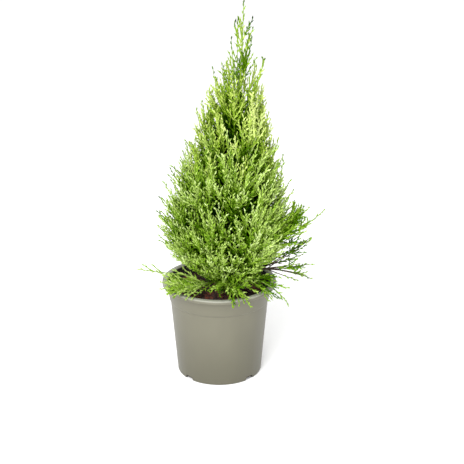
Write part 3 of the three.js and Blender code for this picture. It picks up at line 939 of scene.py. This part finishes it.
def add_foliage(nodes):
    twigs = joined(fan_twigs(), crown_twigs())
    twigs.tone[:] = rng.normal(TONE.base, TONE.scatter, len(twigs.root))
    stem_bare = np.where(stems.fan == IN_CROWN, STEM_BARE, fan_bare[stems.fan])
    stem_bare[limb_names.index("leader")] = 0
    bare = np.concatenate([stem_bare, fan_bare[twigs.fan]])
    sprays = grow_sprays(joined(stems, twigs), bare)
    plumes = joined(stems, twigs, sprays)
    bare = np.concatenate([bare, np.full(len(sprays.root), SPRAY.bare)])
    cordlets = grow_cordlets(plumes, bare)
    # painted shade: plumes darker deeper inside the crown
    plumes.tone[:] += TONE.outward * outwardness(plumes.root + plumes.way / 2, plumes.fan)
    cordlet_tints = tints_of(cordlets)
    plume_tints = tints_of(plumes)
    on_cordlets, cordlet = grow_needles(cordlets, NEEDLE.step, np.zeros(len(cordlets.root)))
    on_plumes, plume = grow_needles(plumes, NEEDLE.plume_step, bare)
    needles = np.concatenate([on_cordlets, on_plumes])
    needle_tints = np.concatenate([cordlet_tints[cordlet], plume_tints[plume]])
    add_tinted("needles", needles, NEEDLE_FACES, needle_tints, nodes)
    add_tinted("cordlets", *buds(cordlets, CORDLET_FORM), cordlet_tints, nodes)
    twig_tints, spray_tints = np.split(plume_tints[len(stems.root) :], [len(twigs.root)])
    add_tinted("sprays", *tubes(sprays, SPRAY_FORM), spray_tints, nodes)
    woody = fan_bare > WOODY
    brown = woody[twigs.fan]
    add_pieces("twigs_bare", *tubes(twigs.kept(brown), BARE_TWIG_FORM), BARK, "bark", nodes, True)
    add_tinted("twigs", *tubes(twigs.kept(~brown), TWIG_FORM), twig_tints[~brown], nodes)
    brown = woody[stems.fan]
    green = MATERIALS["green_bark"]
    add_pieces("stems_bare", *tubes(stems.kept(brown), STEM_FORM), BARK, "bark", nodes, True)
    add_pieces("stems_green", *tubes(stems.kept(~brown), STEM_FORM), green, "foliage", nodes, True)


# Trunk and boughs, with the bark's relief

BARK_RELIEF = Sizes(
    sides=28, trunk_step=2.5, bough_rings=14, ridges=5, depth=0.09, fine_ridges=11, fine_share=0.5,
    fine_twist=2, twist=0.05, wander=0.6, wander_length=17, grain=0.05,
)


def bark_tube(points, ways, radii):
    """A tube with ridges that wander along it and a coarse grain."""
    form = BARK_RELIEF
    sides = form.sides
    turn = all_round(sides)
    rows = []
    climbed = np.concatenate([[0], np.cumsum(size_of(np.diff(points, axis=0)))])
    for point, way, radius, height in zip(points, ways, radii, climbed):
        wander = form.twist * height + form.wander * math.sin(height / form.wander_length)
        ridge = np.sin(form.ridges * turn + wander)
        ridge += form.fine_share * np.sin(form.fine_ridges * turn - form.fine_twist * wander)
        relief = 1 + form.depth * ridge + rng.normal(0, form.grain, sides)
        out = square_to(way, turn)
        rows.append(point + out * (radius * relief)[:, None])
    return np.concatenate(rows), tube_faces(len(points), sides)


def add_trunk():
    steps = int((TRUNK.top - TRUNK.foot) / BARK_RELIEF.trunk_step)
    share = np.linspace(0, 1, steps)
    points = trunk_point(share)
    ways = np.tile(UP, (steps, 1))
    piece = add_mesh("trunk_bark", *bark_tube(points, ways, trunk_radius(share)), BARK, True)
    stand_for(piece, "bark", ["trunk"])


def add_boughs():
    """The boughs, each from the trunk to where its mass of foliage begins."""
    rings = BARK_RELIEF.bough_rings
    boughs = [limb for limb in limbs if limb["on_bough"]]
    points = []
    faces = []
    for limb in boughs:
        start, control, end = limb["line"]
        share = np.linspace(0, BOUGH.share, rings)[:, None]
        bend = start - 2 * control + end
        line = start + 2 * (control - start) * share + bend * share**2
        ways = unit(control - start + bend * share)
        radii = np.linspace(BOUGH.root_radius, BOUGH.tip_radius, rings)
        skin, quads = bark_tube(line, ways, radii)
        faces.append(quads + sum(map(len, points)))
        points.append(skin)
    piece = add_mesh("boughs_bark", np.concatenate(points), np.concatenate(faces), BARK, True)
    stand_for(piece, "bark", [f"bough_{limb['name']}" for limb in boughs])


# The pot


def pot_outer_radius(height):
    return mix(POT.base_radius, POT.ridge_radius, height / POT.ridge_height)


def collar_radius(height):
    bottom = POT.ridge_height + POT.ridge_step
    share = (height - bottom) / (POT.height - POT.lip_depth - bottom)
    return mix(POT.ridge_radius + POT.ridge_step, POT.collar_top_radius, share)


SOIL_RADIUS = collar_radius(SOIL.edge) - POT.wall
POT_SIDES = 160
ROUND = Sizes(foot=2, ridge=0.7, step=0.9, collar=1.2, lip=2.4, inner_lip=2.6, floor=1)
ROUND_STEPS = 5
WELD = 0.001
SHARP = 40  # degrees between faces that meet in an edge
# painted shade: the pot's wall is dark inside, up to this height
PAINTED_SHADE_TOP = 143


def rounded(corners):
    """An outline through corners of radius, height and how far back each is rounded."""
    spots = np.array([corner[:2] for corner in corners], float)
    outline = [spots[0]]
    for i in range(1, len(corners) - 1):
        cut = corners[i][2]
        before = spots[i] + unit(spots[i - 1] - spots[i]) * cut
        after = spots[i] + unit(spots[i + 1] - spots[i]) * cut
        for share in np.linspace(0, 1, ROUND_STEPS + 1):
            outline.append(mix(mix(before, spots[i], share), mix(spots[i], after, share), share))
    return np.array([*outline, spots[-1]])


def pot_outline():
    height = POT.height
    wall = POT.wall
    under = height - POT.lip_depth
    ridge = POT.ridge_radius
    step = POT.ridge_step
    inner_top = POT.collar_top_radius - wall
    return rounded(
        [
            (0, 0, 0),
            (pot_outer_radius(0), 0, ROUND.foot),
            (ridge, POT.ridge_height, ROUND.ridge),
            (ridge + step, POT.ridge_height + step, ROUND.step),
            (POT.collar_top_radius, under, ROUND.collar),
            (POT.rim_radius, under, ROUND.collar),
            (POT.rim_radius, height, ROUND.lip),
            (inner_top, height, ROUND.inner_lip),
            (ridge + step - wall, POT.ridge_height + step, ROUND.step),
            (ridge - wall, POT.ridge_height, ROUND.ridge),
            (pot_outer_radius(POT.floor) - wall, POT.floor, ROUND.floor),
            (0, POT.floor, 0),
        ]
    )


def turned(outline, sides):
    """Points and faces of an outline turned about +Z."""
    rings = outline[:, None, :1] * level_ways(all_round(sides))[None, :, :2]
    heights = np.repeat(outline[:, None, 1:], sides, axis=1)
    points = np.concatenate([rings, heights], axis=-1).reshape(-1, 3)
    return points, tube_faces(len(outline), sides)


def notch_cutter(azimuth):
    out = level_ways(math.radians(azimuth))
    side = np.cross(UP, out)
    points = []
    for reach in (-NOTCH.depth / 2, NOTCH.depth / 2):
        for half, height in (
            (-NOTCH.width / 2, -NOTCH.below),
            (NOTCH.width / 2, -NOTCH.below),
            (NOTCH.roof_width / 2, NOTCH.height),
            (-NOTCH.roof_width / 2, NOTCH.height),
        ):
            points.append(out * (POT.base_radius + reach) + side * half + UP * height)
    faces = np.array([[3, 2, 1, 0], [4, 5, 6, 7], [1, 5, 4, 0], [2, 6, 5, 1], [3, 7, 6, 2], [0, 4, 7, 3]])
    return add_mesh("notch", np.array(points), faces, PLASTIC)


def weld(piece):
    """Joins the points that fall together where an outline meets the axis."""
    shape = bmesh.new()
    shape.from_mesh(piece.data)
    bmesh.ops.remove_doubles(shape, verts=shape.verts, dist=WELD * MM)
    bmesh.ops.recalc_face_normals(shape, faces=shape.faces)
    shape.to_mesh(piece.data)
    shape.free()


def paint_shade_inside(mesh):
    """Gives the faces that look in at the soil a dark material of their own, painted shade inside the
    wall, up to the lip.
    """
    mesh.materials.append(MATERIALS["pot_painted_shade"])
    for face in mesh.polygons:
        inward = face.center.x * face.normal.x + face.center.y * face.normal.y < 0
        if inward and face.center.z < PAINTED_SHADE_TOP * MM:
            face.material_index = 1


def add_pot():
    piece = add_mesh("pot_shell", *turned(pot_outline(), POT_SIDES), PLASTIC, True)
    weld(piece)
    for i in range(NOTCH.count):
        cutter = notch_cutter(NOTCH.azimuth + 360 * i / NOTCH.count)
        cut = piece.modifiers.new("notch", "BOOLEAN")
        cut.operation = "DIFFERENCE"
        cut.object = cutter
        notched = piece.evaluated_get(bpy.context.evaluated_depsgraph_get())
        shape = bpy.data.meshes.new_from_object(notched)
        piece.modifiers.clear()
        piece.data = shape
        bpy.data.objects.remove(cutter)
    paint_shade_inside(piece.data)
    piece.data.set_sharp_from_angle(angle=math.radians(SHARP))
    stand_for(piece, "pot", ["pot"])


# The soil

EARTH = Sizes(
    rings=46, sides=110, lump=2.2, lump_size=14, crumb=0.9, crumb_size=4, noise_slice=7, sunk=1,
)
CHIPS = Sizes(
    count=420, length=(5, 13), width=(2.5, 5.5), depth=(1, 2.4), scatter=0.25, tilt=0.25, red=0.45,
    edge=3,
)


def earth_height(x, y):
    radius = math.hypot(x, y)
    share = max(0, (radius - SOIL.flat_radius) / (SOIL_RADIUS - SOIL.flat_radius))
    lump = EARTH.lump * noise.noise(Vector((x, y, 0)) / EARTH.lump_size)
    crumb = EARTH.crumb * noise.noise(Vector((x, y, EARTH.noise_slice)) / EARTH.crumb_size)
    return mix(SOIL.middle, SOIL.edge, share) + lump + crumb - EARTH.sunk


def add_earth():
    bottom = POT.floor + GAP
    outline = [
        (0, bottom),
        (pot_outer_radius(POT.floor) - POT.wall - GAP, bottom),
        (POT.ridge_radius - POT.wall - GAP, POT.ridge_height),
        *((radius, SOIL.edge) for radius in np.linspace(SOIL_RADIUS - GAP, 0, EARTH.rings)),
    ]
    points, faces = turned(np.array(outline), EARTH.sides)
    on_top = points[:, 2] > SOIL.edge - GAP
    points[on_top, 2] = [earth_height(x, y) for x, y in points[on_top, :2]]
    piece = add_mesh("soil_earth", points, faces, MATERIALS["soil_earth"], True)
    stand_for(piece, "soil", ["soil"])


CHIP_CORNERS = np.array([[x, y, z] for x in (-0.5, 0.5) for y in (-0.5, 0.5) for z in (-0.5, 0.5)])
CHIP_FACES = np.array(
    [[0, 1, 3, 2], [4, 6, 7, 5], [0, 4, 5, 1], [2, 3, 7, 6], [0, 2, 6, 4], [1, 5, 7, 3]],
)


def add_chips():
    """Bits of bark that lie in the soil, some of them reddish."""
    count = CHIPS.count
    reach = SOIL_RADIUS - GAP - CHIPS.edge - CHIPS.length[1] / 2
    radius = reach * np.sqrt(rng.random(count))
    centre = radius[:, None] * level_ways(any_turn(count))
    centre[:, 2] = [earth_height(x, y) for x, y in centre[:, :2]]
    ranges = (CHIPS.length, CHIPS.width, CHIPS.depth)
    sizes = np.stack([rng.uniform(*limits, count) for limits in ranges], axis=-1)
    tilted = level_ways(any_turn(count))
    tilted[:, 2] = rng.normal(0, CHIPS.tilt, count)
    long_way = unit(tilted)
    first, second = across(long_way)
    jitter = around(CHIPS.scatter, (count, *CHIP_CORNERS.shape))
    corners = CHIP_CORNERS[None] * sizes[:, None] * jitter
    axes = np.stack([long_way, first, second], axis=1)
    points = centre[:, None] + np.einsum("nkc,ncd->nkd", corners, axes)
    red = rng.random(count) < CHIPS.red
    add_pieces("chips_red", points[red], CHIP_FACES, MATERIALS["chip_red"], "soil", ["soil"])
    add_pieces("chips_dark", points[~red], CHIP_FACES, MATERIALS["chip_dark"], "soil", ["soil"])


# Stage, light and camera


FLOOR_HALF = 20_000
LIGHTS = {
    "key": {"place": (-700, -1680, 1900), "width": 1300, "power": 66},
    "fill": {"place": (-50, -2200, 500), "width": 700, "power": 30},
}
LIGHT_TARGET = (0, 0, 260)
WORLD_STRENGTH = 1.02


def add_floor():
    corners = FLOOR_HALF * np.array([[-1, -1, 0], [1, -1, 0], [1, 1, 0], [-1, 1, 0]])
    material = MATERIALS["floor"]
    add_mesh("floor", corners, np.array([[0, 1, 2, 3]]), material)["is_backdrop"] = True


def add_light(name, place, width, power):
    lamp = bpy.data.lights.new(name, "AREA")
    lamp.size = width * MM
    lamp.energy = power
    made = add_object(name, lamp)
    made.location = Vector(place) * MM
    made.rotation_euler = (Vector(LIGHT_TARGET) - Vector(place)).to_track_quat("-Z", "Y").to_euler()


def add_world():
    world = bpy.data.worlds.new("studio")
    world.use_nodes = True
    background = world.node_tree.nodes["Background"]
    background.inputs["Color"].default_value = (1, 1, 1, 1)
    background.inputs["Strength"].default_value = WORLD_STRENGTH
    bpy.context.scene.world = world


def add_camera():
    lens = bpy.data.cameras.new("camera")
    lens.sensor_width = CAMERA.sensor
    lens.lens = CAMERA.focal * CAMERA.sensor / CAMERA.image
    made = add_object("camera", lens)
    made.location = Vector((CAMERA.x, CAMERA.y, CAMERA.z)) * MM
    made.rotation_euler = (math.radians(90 - CAMERA.pitch), 0, 0)
    bpy.context.scene.camera = made


add_foliage([f"foliage_{name}" for name in limb_names])
add_trunk()
add_boughs()
add_pot()
add_earth()
add_chips()
add_floor()
add_world()
for light_name, light in LIGHTS.items():
    add_light(light_name, **light)
add_camera()
bpy.context.scene.view_settings.view_transform = "Standard"

boxes = {"cad": cad_box, "visual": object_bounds()}
{name: [list(corner) for corner in box] for name, box in boxes.items()}
